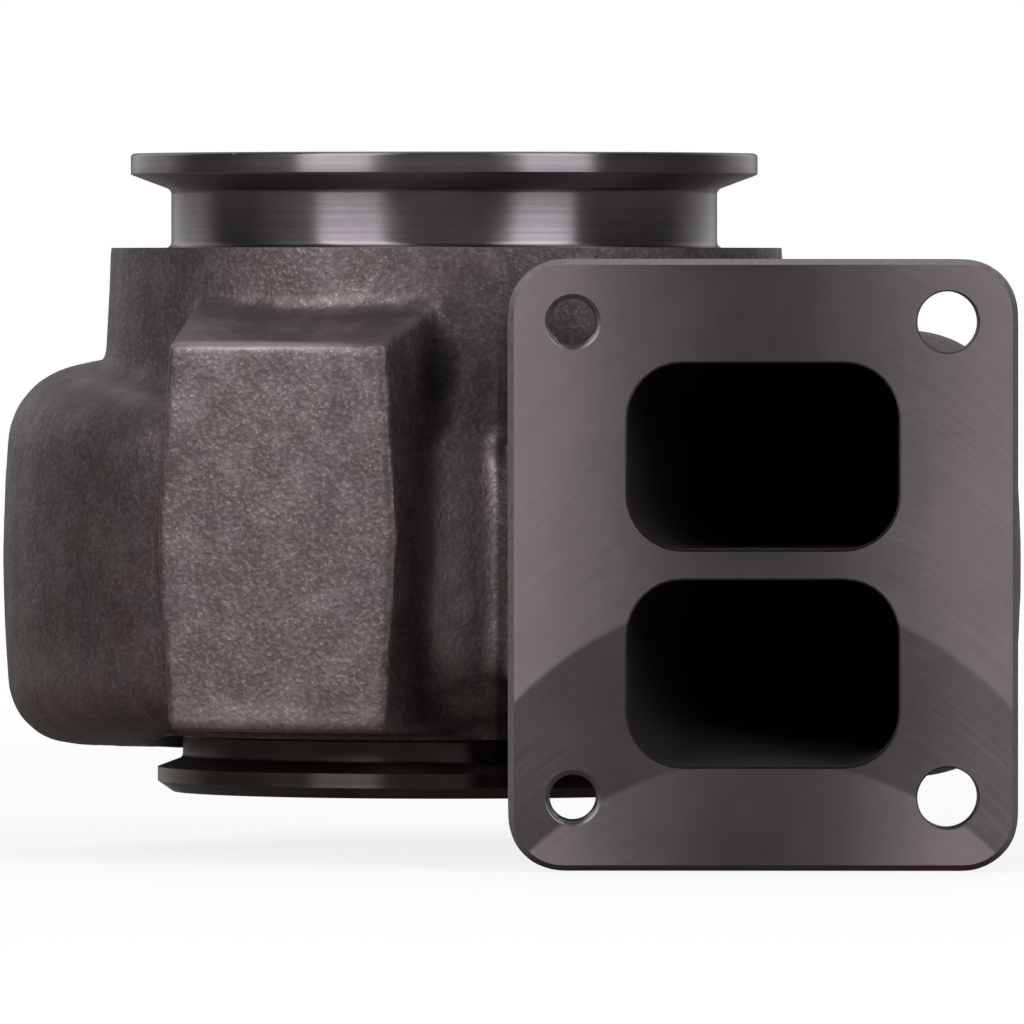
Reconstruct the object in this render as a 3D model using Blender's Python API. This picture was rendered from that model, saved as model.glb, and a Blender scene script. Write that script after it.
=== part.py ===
"""Turbine housing of a turbocharger with a divided inlet, as one iron casting.

Gas comes in through two ports in a square flange, runs round the turbine axis in the two
channels of a shrinking volute, and meets the wheel at a narrow throat. It leaves downwards
through the outlet. Above is the bore that takes the bearing housing. Both round ends carry
a flange with a sloping back, for a clamp band.

The world origin is the centre of the inlet flange's face. The gas enters along +Y, and the
turbine axis is parallel to Z. All lengths are in metres.
"""

from math import cos, pi, radians, sin, tan

import bmesh
import bpy
from mathutils import Matrix, Vector

# Where the turbine axis lies behind and beside the centre of the inlet face
INLET_OFFSET = 0.0707
INLET_REACH = 0.120

# Inlet flange and its two ports
FLANGE_WIDTH = 0.1124
FLANGE_HEIGHT = 0.1348
FLANGE_THICKNESS = 0.016
FLANGE_CORNER = 0.0121
FLANGE_CHAMFER = 0.0013
PORT_WIDTH = 0.060
PORT_HEIGHT = 0.0412
PORT_CORNER = 0.0123
DIVIDER = 0.0066

# Bolt pattern, by how far each hole lies inside the flange's edges: tapped holes towards the
# turbine axis, plain ones away from it
BOLT_EDGE_X = 0.0149
BOLT_EDGE_Z = 0.0150
BOLT_SHIFT_X = -0.0006
BOLT_SHIFT_Z = 0.0011
TAPPED_RADIUS = 0.0051
TAPPED_MOUTH_RADIUS = 0.0062
CLEARANCE_RADIUS = 0.00675

# Bearing end, heights from the middle of the inlet
BEARING_FACE_Z = 0.0914
BEARING_BAND_RADIUS = 0.0712
BEARING_RIM = 0.0048
BEARING_EDGE = 0.0009
NECK_RADIUS = 0.0620
NECK_FILLET = 0.0012
SHOULDER_Z = 0.0700
BAND_SLOPE = 20.5

# Outlet end
OUTLET_FACE_Z = -0.0533
OUTLET_BAND_RADIUS = 0.0651
OUTLET_RIM = 0.0056
OUTLET_NECK_RADIUS = 0.0594
OUTLET_CHAMFER_WIDTH = 0.0034
OUTLET_CHAMFER_HEIGHT = 0.0024

# Round body between the two ends
BODY_RADIUS = 0.0761
BODY_DRAFT = 2.9
BELLY_Z = -0.014
BELLY_END_Z = -0.038

# Volute skin: its wrap is 0 degrees where the inlet duct ends, beside the axis
VOLUTE_RADIUS = 0.1314
VOLUTE_CLOSING = 0.0616
VOLUTE_END = 335.0
VOLUTE_TOP = 0.0498
VOLUTE_TOP_FALL = 2.0
VOLUTE_BOTTOM = 0.0526
VOLUTE_BOTTOM_FALL = 2.0
TAIL_TOP = 0.0203
TAIL_BOTTOM = 0.0177
VOLUTE_CORNER = 0.021
TAIL_CORNER = 0.009
TOP_CORNER_EXCESS = 0.0030
CREST_BULGE = 0.0027
CREST_RADIUS = 0.300
ROOF_DRAFT = 3.9
NECK_FLOOR_Z = -0.0416
DUCT_FILLET = 0.004
TONGUE_FILLET = 0.022
TONGUE_HALF_HEIGHT = 0.027
TONGUE_CORNER = 0.006

# Channels inside the volute
SKIN_WALL = 0.007
SIDE_WALL = 0.008
SCROLL_INNER_RADIUS = 0.060
CHANNEL_END = 310.0

# Throat between the channels and the wheel
WHEEL_RADIUS = 0.047
THROAT_Z = 0.026
THROAT_WIDTH = 0.016
TIP_THICKNESS = 0.003
DIVIDER_ROOT = 0.0095
THROAT_RING = 0.0045
LIP_FLOOR_Z = -0.018

# Bores along the turbine axis
REGISTER_RADIUS = 0.056
REGISTER_DEPTH = 0.0074
CHAMBER_RADIUS = 0.052
CHAMBER_FLOOR_Z = 0.038
EXDUCER_RADIUS = 0.040
EXDUCER_Z = -0.004
DIFFUSER_Z = -0.014
OUTLET_BORE_RADIUS = 0.052

# Blank pad on the front of the volute
PAD_TURN = 22.0
PAD_RADIUS = 0.095
PAD_SHIFT = -0.0018
PAD_TOP_Z = 0.0483
PAD_BOTTOM_Z = -0.0378
PAD_END_WIDTH = 0.0518
PAD_MID_WIDTH = 0.0577
PAD_SIDE_DRAFT = 8.0
PAD_TOP_DRAFT = 22.0
PAD_BOTTOM_DRAFT = 1.0
PAD_CORNER = 0.0025
PAD_ROOT_RADIUS = 0.047

# How the curves bend, as shares of the way from one end to the other
DUCT_EARLY = 2.4
DIVIDER_UPPER_BENDS = (0.35, 0.25)
DIVIDER_LOWER_BENDS = (0.60, 0.45)
LIP_BENDS = (0.29, 0.34)
THROAT_ROOF_SHARE = 0.6

# The most of a side that a rounded corner may take
CORNER_SHARE = 0.45
CHANNEL_CORNER_SHARE = 0.42

# Fineness of the curved surfaces, and how far cutters and buried ends run on
TURN_STEPS = 48
VOLUTE_STEP = 9.0
DUCT_STEPS = 6
CUT = 0.005
BURY = 0.004
OVERLAP = 0.0015


def flat(x, y):
    return Vector((x, y))


def mix(a, b, share):
    return a + (b - a) * share


def eased(share):
    """A share from 0 to 1 that starts and ends gently."""
    share = min(max(share, 0.0), 1.0)
    return share * share * (3 - 2 * share)


def bezier(a, b, c, d, steps):
    """Points of the cubic curve from a to d."""
    for step in range(steps + 1):
        t = step / steps
        s = 1 - t
        yield a * s**3 + b * (3 * s * s * t) + c * (3 * s * t * t) + d * t**3


def rounded(corners):
    """The convex outline through (corner, radius, steps), anticlockwise, with each corner rounded."""
    points = []
    for i, (corner, radius, steps) in enumerate(corners):
        back = corners[i - 1][0] - corner
        on = corners[(i + 1) % len(corners)][0] - corner
        half = back.angle(on) / 2
        reach = min(radius / tan(half), CORNER_SHARE * min(back.length, on.length))
        inwards = (back.normalized() + on.normalized()).normalized()
        centre = corner + inwards * (reach / cos(half))
        start = corner + back.normalized() * reach - centre
        for step in range(steps + 1):
            turn = Matrix.Rotation((pi - 2 * half) * step / steps, 2)
            points.append(centre + turn @ start)
    return points


def new_object(name, mesh, axis):
    obj = bpy.data.objects.new(name, mesh)
    obj.parent = axis
    bpy.context.scene.collection.objects.link(obj)
    return obj


def finished(bm, name):
    """The bmesh as a closed mesh with its faces pointing out and its round parts smooth."""
    bmesh.ops.remove_doubles(bm, verts=bm.verts, dist=1e-6)
    bmesh.ops.recalc_face_normals(bm, faces=bm.faces)
    if bm.calc_volume(signed=True) < 0:
        bmesh.ops.reverse_faces(bm, faces=bm.faces)
    mesh = bpy.data.meshes.new(name)
    bm.to_mesh(mesh)
    bm.free()
    mesh.shade_smooth()
    mesh.set_sharp_from_angle(angle=radians(30))
    return mesh


def loft(name, rings, axis):
    """A closed solid through rings of as many points each."""
    bm = bmesh.new()
    made = [[bm.verts.new(point) for point in ring] for ring in rings]
    for first, second in zip(made, made[1:]):
        for i, vert in enumerate(first):
            before = first[i - 1]
            bm.faces.new((before, vert, second[i], second[i - 1]))
    bm.faces.new(made[0])
    bm.faces.new(made[-1])
    return new_object(name, finished(bm, name), axis)


def turned(name, outline, axis):
    """The outline of (radius, height) points, turned round the turbine axis."""
    bm = bmesh.new()
    verts = [bm.verts.new((point.x, 0, point.y)) for point in outline]
    edges = [bm.edges.new((verts[i - 1], verts[i])) for i in range(len(verts))]
    bmesh.ops.spin(
        bm, geom=verts + edges, cent=(0, 0, 0), axis=(0, 0, 1), angle=2 * pi, steps=TURN_STEPS
    )
    bmesh.ops.remove_doubles(bm, verts=bm.verts, dist=1e-6)
    bmesh.ops.dissolve_degenerate(bm, edges=bm.edges, dist=1e-7)
    on_axis = [e for e in bm.edges if not e.link_faces]
    bmesh.ops.delete(bm, geom=on_axis, context="EDGES")
    return new_object(name, finished(bm, name), axis)


def helper(obj):
    """Keeps a solid that is joined to or cut from the casting out of the picture."""
    obj.hide_render = True
    obj.display_type = "WIRE"
    return obj


def combine(obj, other, operation, crosses_itself=False):
    boolean = obj.modifiers.new(other.name, "BOOLEAN")
    boolean.operation = operation
    boolean.solver = "EXACT"
    boolean.use_self = crosses_itself
    boolean.object = helper(other)


def cast_iron():
    material = bpy.data.materials.new("cast iron")
    material.use_nodes = True
    shader = material.node_tree.nodes["Principled BSDF"]
    shader.inputs["Base Color"].default_value = (0.085, 0.072, 0.070, 1)
    shader.inputs["Metallic"].default_value = 0.6
    shader.inputs["Roughness"].default_value = 0.55
    return material


def core_outline():
    """Half section of the turned middle: both clamp flanges, the neck and the round body."""
    slope = tan(radians(BAND_SLOPE))
    rim_z = BEARING_FACE_Z - BEARING_RIM
    cone_z = rim_z - (BEARING_BAND_RADIUS - NECK_RADIUS) * slope
    waist = BODY_RADIUS + (SHOULDER_Z - BELLY_Z) * tan(radians(BODY_DRAFT))
    outline = [
        flat(0, BEARING_FACE_Z),
        flat(BEARING_BAND_RADIUS - BEARING_EDGE, BEARING_FACE_Z),
        flat(BEARING_BAND_RADIUS, BEARING_FACE_Z - BEARING_EDGE),
        flat(BEARING_BAND_RADIUS, rim_z),
        flat(NECK_RADIUS + NECK_FILLET, cone_z + NECK_FILLET * slope),
        flat(NECK_RADIUS, cone_z - NECK_FILLET),
        flat(NECK_RADIUS, SHOULDER_Z + NECK_FILLET),
        flat(NECK_RADIUS + NECK_FILLET, SHOULDER_Z),
        flat(BODY_RADIUS, SHOULDER_Z),
    ]
    belly_steps = 5
    for step in range(belly_steps + 1):
        turn = radians(90) * step / belly_steps
        radius = mix(OUTLET_NECK_RADIUS, waist, cos(turn))
        outline.append(flat(radius, mix(BELLY_Z, BELLY_END_Z, sin(turn))))
    outlet_rim_z = OUTLET_FACE_Z + OUTLET_RIM
    outlet_cone_z = outlet_rim_z + (OUTLET_BAND_RADIUS - OUTLET_NECK_RADIUS) * slope
    return outline + [
        flat(OUTLET_NECK_RADIUS, outlet_cone_z),
        flat(OUTLET_BAND_RADIUS, outlet_rim_z),
        flat(OUTLET_BAND_RADIUS, OUTLET_FACE_Z + OUTLET_CHAMFER_HEIGHT),
        flat(OUTLET_BAND_RADIUS - OUTLET_CHAMFER_WIDTH, OUTLET_FACE_Z),
        flat(0, OUTLET_FACE_Z),
    ]


def volute_radius(wrap):
    return VOLUTE_RADIUS - VOLUTE_CLOSING * wrap / 360


def top_z(wrap):
    return mix(VOLUTE_TOP, TAIL_TOP, (wrap / VOLUTE_END) ** VOLUTE_TOP_FALL)


def bottom_z(wrap):
    return -mix(VOLUTE_BOTTOM, TAIL_BOTTOM, (wrap / VOLUTE_END) ** VOLUTE_BOTTOM_FALL)


def skin_corners(inner, side, floor, bottom, top, roof, corner):
    """The volute's outside section: corner points, their radii and the steps of each arc."""
    middle = (top + bottom) / 2
    return [
        (flat(inner, floor), OVERLAP, 1),
        (flat(side, bottom), corner, 5),
        (flat(side + CREST_BULGE, middle), CREST_RADIUS, 3),
        (flat(side, top), corner + TOP_CORNER_EXCESS, 5),
        (flat(inner, roof), OVERLAP, 1),
    ]


def skin_at(wrap):
    side = volute_radius(wrap) - CREST_BULGE
    inner = CHAMBER_RADIUS - OVERLAP
    roof = top_z(wrap) + (side - inner) * tan(radians(ROOF_DRAFT))
    floor = max(bottom_z(wrap), NECK_FLOOR_Z)
    corner = mix(VOLUTE_CORNER, TAIL_CORNER, wrap / VOLUTE_END)
    return skin_corners(inner, side, floor, bottom_z(wrap), top_z(wrap), roof, corner)


def skin_at_flange(grown):
    """The duct's outside where it meets the flange, grown all round by the fillet there."""
    wall = SKIN_WALL + grown
    half_height = DIVIDER / 2 + PORT_HEIGHT + wall
    inner = INLET_OFFSET - PORT_WIDTH / 2 - wall
    side = INLET_OFFSET + PORT_WIDTH / 2 + wall
    corners = skin_corners(
        inner, side, -half_height, -half_height, half_height, half_height, PORT_CORNER + wall
    )
    round_inner = [0, 4]
    return [
        (point, PORT_CORNER + wall if i in round_inner else radius, steps)
        for i, (point, radius, steps) in enumerate(corners)
    ]


def blended(first, second, share, early):
    """Corners between two sections. Those of the side near the axis move by the early share."""
    made = []
    for (a, radius_a, steps), (b, radius_b, _) in zip(first, second):
        inner = a.x < INLET_OFFSET
        x = mix(a.x, b.x, share)
        z = mix(a.y, b.y, early if inner else share)
        made.append((flat(x, z), mix(radius_a, radius_b, share), steps))
    return made


def at_depth(outline, y):
    return [Vector((point.x, y, point.y)) for point in outline]


def at_wrap(outline, wrap):
    turn = Matrix.Rotation(radians(wrap), 3, "Z")
    return [turn @ Vector((point.x, 0, point.y)) for point in outline]


def wraps(end):
    """Angles round the volute from 0 to its end."""
    steps = round(end / VOLUTE_STEP)
    return [end * step / steps for step in range(steps + 1)]


def duct_stations(start):
    """Depths from start to the turbine axis, with how far the duct has turned into the volute."""
    for step in range(DUCT_STEPS):
        y = mix(start, 0, step / DUCT_STEPS)
        share = step / DUCT_STEPS
        yield y, eased(share), eased(share * DUCT_EARLY)


def volute_skin(axis):
    back = FLANGE_THICKNESS - INLET_REACH
    rings = [at_depth(rounded(skin_at_flange(DUCT_FILLET)), back - BURY)]
    fillet_steps = 3
    for step in range(fillet_steps):
        turn = radians(90) * step / fillet_steps
        grown = DUCT_FILLET * (1 - sin(turn))
        y = back + DUCT_FILLET * (1 - cos(turn))
        rings.append(at_depth(rounded(skin_at_flange(grown)), y))
    for y, share, early in duct_stations(back + DUCT_FILLET):
        section = blended(skin_at_flange(0), skin_at(0), share, early)
        rings.append(at_depth(rounded(section), y))
    for wrap in wraps(VOLUTE_END):
        rings.append(at_wrap(rounded(skin_at(wrap)), wrap))
    return loft("volute skin", rings, axis)


def channel_at(wrap, upper):
    """Section of one channel in the volute, which shrinks with the skin around it."""
    inner = SCROLL_INNER_RADIUS
    outer = volute_radius(wrap) - SIDE_WALL
    if upper:
        low_in = low_out = DIVIDER / 2
        high_out = top_z(wrap) - SKIN_WALL
        high_in = high_out + (outer - inner) * tan(radians(ROOF_DRAFT))
    else:
        high_in = high_out = -DIVIDER / 2
        low_out = bottom_z(wrap) + SKIN_WALL
        low_in = max(low_out, NECK_FLOOR_Z + SKIN_WALL)
    return channel_corners(inner, outer, low_in, low_out, high_out, high_in)


def channel_corners(inner, outer, low_in, low_out, high_out, high_in):
    arc_steps = 4
    least = min(outer - inner, high_out - low_out)
    radius = min(PORT_CORNER, CHANNEL_CORNER_SHARE * least)
    places = [
        flat(inner, low_in),
        flat(outer, low_out),
        flat(outer, high_out),
        flat(inner, high_in),
    ]
    return [(place, radius, arc_steps) for place in places]


def port(upper):
    inner = INLET_OFFSET - PORT_WIDTH / 2
    outer = INLET_OFFSET + PORT_WIDTH / 2
    low = DIVIDER / 2 if upper else -DIVIDER / 2 - PORT_HEIGHT
    high = low + PORT_HEIGHT
    return channel_corners(inner, outer, low, low, high, high)


def channel(name, upper, axis):
    straight = FLANGE_THICKNESS / 2 - INLET_REACH
    rings = [at_depth(rounded(port(upper)), -INLET_REACH - CUT)]
    for y, share, early in duct_stations(straight):
        section = blended(port(upper), channel_at(0, upper), share, early)
        rings.append(at_depth(rounded(section), y))
    for wrap in wraps(CHANNEL_END):
        rings.append(at_wrap(rounded(channel_at(wrap, upper)), wrap))
    return loft(name, rings, axis)


def divider_side(root_z, tip_z, bends):
    """One side of the divider's inner part, an S from the scroll to the wheel.

    The bends are shares of the way in at which the S leaves the root and nears the tip.
    """
    outer = SCROLL_INNER_RADIUS + THROAT_RING
    first_bend, last_bend = bends
    side_steps = 6
    curve = bezier(
        flat(outer, root_z),
        flat(mix(outer, WHEEL_RADIUS, first_bend), root_z),
        flat(mix(outer, WHEEL_RADIUS, last_bend), tip_z),
        flat(WHEEL_RADIUS, tip_z),
        side_steps,
    )
    return list(curve)


def throat_outline():
    """Both annular slots, from the bearing side of the throat to the shroud's lip."""
    outer = SCROLL_INNER_RADIUS + THROAT_RING
    throat_top = THROAT_Z + THROAT_WIDTH / 2
    throat_bottom = THROAT_Z - THROAT_WIDTH / 2
    above = divider_side(DIVIDER_ROOT / 2, THROAT_Z + TIP_THICKNESS / 2, DIVIDER_UPPER_BENDS)
    below = divider_side(-DIVIDER_ROOT / 2, THROAT_Z - TIP_THICKNESS / 2, DIVIDER_LOWER_BENDS)
    floor_bend, mouth_bend = LIP_BENDS
    lip_steps = 5
    lip = bezier(
        flat(outer, LIP_FLOOR_Z),
        flat(mix(WHEEL_RADIUS, outer, floor_bend), LIP_FLOOR_Z),
        flat(mix(WHEEL_RADIUS, outer, mouth_bend), throat_bottom),
        flat(WHEEL_RADIUS, throat_bottom),
        lip_steps,
    )
    top_side = [
        flat(WHEEL_RADIUS, throat_top),
        flat(mix(WHEEL_RADIUS, outer, THROAT_ROOF_SHARE), throat_top),
        flat(outer, throat_top - THROAT_RING),
    ]
    return top_side + above + below[::-1] + list(lip)


def bore_outline():
    """Half section of what is cut round the axis: register, chamber, throat, shroud, diffuser."""
    throat_bottom = THROAT_Z - THROAT_WIDTH / 2
    register_z = BEARING_FACE_Z - REGISTER_DEPTH
    widening = (OUTLET_BORE_RADIUS - EXDUCER_RADIUS) / (DIFFUSER_Z - OUTLET_FACE_Z)
    outline = [
        flat(0, BEARING_FACE_Z + CUT),
        flat(REGISTER_RADIUS, BEARING_FACE_Z + CUT),
        flat(REGISTER_RADIUS, register_z),
        flat(CHAMBER_RADIUS, register_z),
        flat(CHAMBER_RADIUS, CHAMBER_FLOOR_Z),
        flat(WHEEL_RADIUS, CHAMBER_FLOOR_Z),
    ]
    outline += throat_outline()
    shroud_steps = 5
    for step in range(1, shroud_steps + 1):
        turn = radians(90) * step / shroud_steps
        radius = mix(WHEEL_RADIUS, EXDUCER_RADIUS, sin(turn))
        outline.append(flat(radius, mix(EXDUCER_Z, throat_bottom, cos(turn))))
    return outline + [
        flat(EXDUCER_RADIUS, DIFFUSER_Z),
        flat(OUTLET_BORE_RADIUS + widening * CUT, OUTLET_FACE_Z - CUT),
        flat(0, OUTLET_FACE_Z - CUT),
    ]


def flange_plate(axis):
    """The inlet flange, with rounded corners and a chamfer round both faces."""
    half_x = FLANGE_WIDTH / 2
    half_z = FLANGE_HEIGHT / 2
    corner_steps = 7
    rings = []
    for depth, inset in (
        (0, FLANGE_CHAMFER),
        (FLANGE_CHAMFER, 0),
        (FLANGE_THICKNESS - FLANGE_CHAMFER, 0),
        (FLANGE_THICKNESS, FLANGE_CHAMFER),
    ):
        x = half_x - inset
        z = half_z - inset
        places = [(-x, -z), (x, -z), (x, z), (-x, z)]
        outline = rounded(
            [(flat(*place), FLANGE_CORNER - inset, corner_steps) for place in places]
        )
        rings.append(at_depth([p + flat(INLET_OFFSET, 0) for p in outline], depth - INLET_REACH))
    return loft("inlet flange", rings, axis)


def bolt_hole(name, x, z, sections, axis):
    """A round cutter through the inlet flange, by (depth, radius) from its face."""
    hole_steps = 24
    rings = []
    for depth, radius in sections:
        angles = [2 * pi * step / hole_steps for step in range(hole_steps)]
        outline = [flat(x + radius * cos(a), z + radius * sin(a)) for a in angles]
        rings.append(at_depth(outline, depth - INLET_REACH))
    return loft(name, rings, axis)


def bolt_holes(axis):
    mouth = TAPPED_MOUTH_RADIUS - TAPPED_RADIUS
    tapped = [
        (-CUT, TAPPED_MOUTH_RADIUS + CUT),
        (mouth, TAPPED_RADIUS),
        (FLANGE_THICKNESS + CUT, TAPPED_RADIUS),
    ]
    plain = [(-CUT, CLEARANCE_RADIUS), (FLANGE_THICKNESS + CUT, CLEARANCE_RADIUS)]
    made = []
    for side, sections, kind in ((-1, tapped, "tapped"), (1, plain, "plain")):
        for up, level in ((-1, "low"), (1, "high")):
            x = INLET_OFFSET + BOLT_SHIFT_X + side * (FLANGE_WIDTH / 2 - BOLT_EDGE_X)
            z = BOLT_SHIFT_Z + up * (FLANGE_HEIGHT / 2 - BOLT_EDGE_Z)
            made.append(bolt_hole(f"{kind} hole {level}", x, z, sections, axis))
    return made


def pad_outline(depth, inset):
    """The pad's six-sided outline this far behind its face, drafted on every side."""
    sides = depth * tan(radians(PAD_SIDE_DRAFT)) - inset
    end = PAD_END_WIDTH / 2 + sides
    mid = PAD_MID_WIDTH / 2 + sides
    top = PAD_TOP_Z + depth * tan(radians(PAD_TOP_DRAFT)) - inset
    bottom = PAD_BOTTOM_Z - depth * tan(radians(PAD_BOTTOM_DRAFT)) + inset
    middle = (PAD_TOP_Z + PAD_BOTTOM_Z) / 2
    places = [
        flat(-end, bottom),
        flat(end, bottom),
        flat(mid, middle),
        flat(end, top),
        flat(-end, top),
        flat(-mid, middle),
    ]
    return rounded([(place, PAD_CORNER, 2) for place in places])


def pad(axis):
    """The blank pad: its face looks out from the axis, turned to the left of straight ahead."""
    turn = Matrix.Rotation(radians(-PAD_TURN), 3, "Z")
    rings = []
    root = PAD_RADIUS - PAD_ROOT_RADIUS
    edge_steps = 2
    edge = [radians(90) * step / edge_steps for step in range(edge_steps + 1)]
    places = [(PAD_CORNER * (1 - sin(a)), PAD_CORNER * (1 - cos(a))) for a in edge]
    for depth, inset in [*places, (root, 0)]:
        y = depth - PAD_RADIUS
        outline = [p + flat(PAD_SHIFT, 0) for p in pad_outline(depth, inset)]
        rings.append([turn @ point for point in at_depth(outline, y)])
    return loft("pad", rings, axis)


def tongue_web(axis):
    """The web that fills the corner between the duct and the volute's tail, with a hollow side."""
    back = FLANGE_THICKNESS - INLET_REACH
    duct_side = INLET_OFFSET - PORT_WIDTH / 2 - SKIN_WALL
    centre = flat(duct_side - TONGUE_FILLET, back)
    arc_steps = 6
    outline = [flat(duct_side + SKIN_WALL, back - BURY), flat(duct_side, back - BURY)]
    for step in range(arc_steps + 1):
        turn = radians(90) * step / arc_steps
        outline.append(centre + flat(cos(turn), sin(turn)) * TONGUE_FILLET)
    outline.append(flat(centre.x, -SCROLL_INNER_RADIUS))
    outline.append(flat(duct_side + SKIN_WALL, -SCROLL_INNER_RADIUS))
    rings = []
    for z, inset in (
        (-TONGUE_HALF_HEIGHT, TONGUE_CORNER),
        (-TONGUE_HALF_HEIGHT + TONGUE_CORNER, 0),
        (TONGUE_HALF_HEIGHT - TONGUE_CORNER, 0),
        (TONGUE_HALF_HEIGHT, TONGUE_CORNER),
    ):
        rings.append([Vector((p.x + inset, p.y + inset, z)) for p in outline])
    return loft("tongue web", rings, axis)


def turbine_housing(axis):
    housing = turned("turbine_housing", core_outline(), axis)
    housing.data.materials.append(cast_iron())
    combine(housing, volute_skin(axis), "UNION", crosses_itself=True)
    for solid in (flange_plate(axis), pad(axis), tongue_web(axis)):
        combine(housing, solid, "UNION")
    cutters = [
        turned("bore along the axis", bore_outline(), axis),
        channel("upper channel", True, axis),
        channel("lower channel", False, axis),
        *bolt_holes(axis),
    ]
    for cutter in cutters:
        combine(housing, cutter, "DIFFERENCE")
    return housing


def main():
    for obj in list(bpy.data.objects):
        bpy.data.objects.remove(obj)
    axis = bpy.data.objects.new("turbine axis", None)
    axis.location = (-INLET_OFFSET, INLET_REACH, 0)
    bpy.context.scene.collection.objects.link(axis)
    turbine_housing(axis)


main()
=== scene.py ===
# %% [markdown]
# # A turbine housing, cast first and machined after
#
# The real part is one iron casting that has been on a lathe, a milling machine and a
# drill. This lesson makes it in the same order. Rough blanks are joined into a casting
# with soft edges, and cutters with their own finishes then take off what the machines
# take off. The result is one closed mesh, and it shows at each place how it was made.
#
# All lengths are in metres. The origin is the middle of the inlet flange's face, the gas
# enters along +Y, and the turbine axis stands upright beside and behind it.

from math import atan2, cos, pi, radians, sin, tan

import bpy
from mathutils import Matrix, Vector


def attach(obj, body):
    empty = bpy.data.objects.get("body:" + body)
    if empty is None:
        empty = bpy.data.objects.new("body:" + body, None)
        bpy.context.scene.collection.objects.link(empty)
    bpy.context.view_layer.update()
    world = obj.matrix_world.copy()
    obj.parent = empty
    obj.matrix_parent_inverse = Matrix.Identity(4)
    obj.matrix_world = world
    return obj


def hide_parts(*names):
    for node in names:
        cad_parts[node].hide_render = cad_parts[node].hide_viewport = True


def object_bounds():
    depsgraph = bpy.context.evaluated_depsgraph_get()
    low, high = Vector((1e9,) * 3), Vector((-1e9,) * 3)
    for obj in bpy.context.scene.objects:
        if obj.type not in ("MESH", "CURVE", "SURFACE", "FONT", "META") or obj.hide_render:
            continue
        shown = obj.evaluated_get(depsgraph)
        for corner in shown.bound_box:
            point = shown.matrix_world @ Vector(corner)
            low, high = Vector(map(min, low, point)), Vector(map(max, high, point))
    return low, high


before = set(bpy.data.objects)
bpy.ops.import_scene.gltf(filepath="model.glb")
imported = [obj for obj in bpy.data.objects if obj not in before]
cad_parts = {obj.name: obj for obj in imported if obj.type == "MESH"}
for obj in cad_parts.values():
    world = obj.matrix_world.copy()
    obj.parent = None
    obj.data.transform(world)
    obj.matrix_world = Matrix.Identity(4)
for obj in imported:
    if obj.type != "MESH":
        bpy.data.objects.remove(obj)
cad_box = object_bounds()
print("the packed part measures", [round(b - a, 4) for a, b in zip(*cad_box)])

# %% [markdown]
# ## Working by hand, in code
#
# An operator works on whatever is selected and active. So one helper makes a single
# object the only one selected, one opens it in edit mode with everything selected, and
# one adds a modifier, sets it and applies it. New objects from points are the start of
# outlines, which the spin and extrude operators then turn into solids.

# %% Helpers for selecting and modifying
AXIS = Vector((-0.0707, 0.120, 0.0))


def take(obj):
    """Makes this the only selected object."""
    bpy.ops.object.select_all(action="DESELECT")
    obj.select_set(True)
    bpy.context.view_layer.objects.active = obj


def edit(obj):
    """Opens the object in edit mode with all of it selected."""
    take(obj)
    bpy.ops.object.mode_set(mode="EDIT")
    bpy.ops.mesh.select_all(action="SELECT")


def close_up(obj):
    """Merges doubled points, turns the faces outwards and leaves edit mode."""
    bpy.ops.mesh.select_all(action="SELECT")
    bpy.ops.mesh.remove_doubles(threshold=1e-6)
    bpy.ops.mesh.normals_make_consistent(inside=False)
    bpy.ops.object.mode_set(mode="OBJECT")
    return obj


def modify(obj, kind, **settings):
    """Adds one modifier, sets it and applies it."""
    take(obj)
    modifier = obj.modifiers.new(kind.lower(), kind)
    for name, value in settings.items():
        setattr(modifier, name, value)
    bpy.ops.object.modifier_apply(modifier=modifier.name)


def outline_object(name, points, closed):
    """An object that holds only a line through the points."""
    mesh = bpy.data.meshes.new(name)
    edges = [(i, i + 1) for i in range(len(points) - 1)]
    if closed:
        edges.append((len(points) - 1, 0))
    mesh.from_pydata(points, edges, [])
    obj = bpy.data.objects.new(name, mesh)
    bpy.context.scene.collection.objects.link(obj)
    return obj


# %% [markdown]
# ## Camera, floor and light
#
# The photograph was taken from far away and almost level, so the lens is long. Iron looks
# dark and shows little of its own colour. What shapes it is what it mirrors, so the light
# is set up like a studio's: two tall soft boxes left and right of the camera, weak ones
# above and far behind, and a room with a white backdrop.

# %% Camera
EYE = Vector((-0.0553, -3.72, 0.0639))
TARGET = Vector((-0.0553, 0.120, 0.0100))

camera = bpy.data.objects.new("camera", bpy.data.cameras.new("camera"))
bpy.context.scene.collection.objects.link(camera)
camera.location = EYE
camera.rotation_euler = (TARGET - EYE).to_track_quat("-Z", "Y").to_euler()
camera.data.lens = 594.2
camera.data.sensor_width = 36
bpy.context.scene.camera = camera
bpy.context.scene.view_settings.view_transform = "Standard"
print("camera", round((TARGET - EYE).length, 3), "m from the turbine axis")

# %% [markdown]
# ## Shader sums as Python sums
#
# A socket is wrapped in a small class, so that an expression such as `grain * 0.3 + 0.5`
# adds its Math nodes by itself. Every other kind of node comes from the method `node`,
# which takes its settings first and then the values or links of its sockets.


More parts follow.
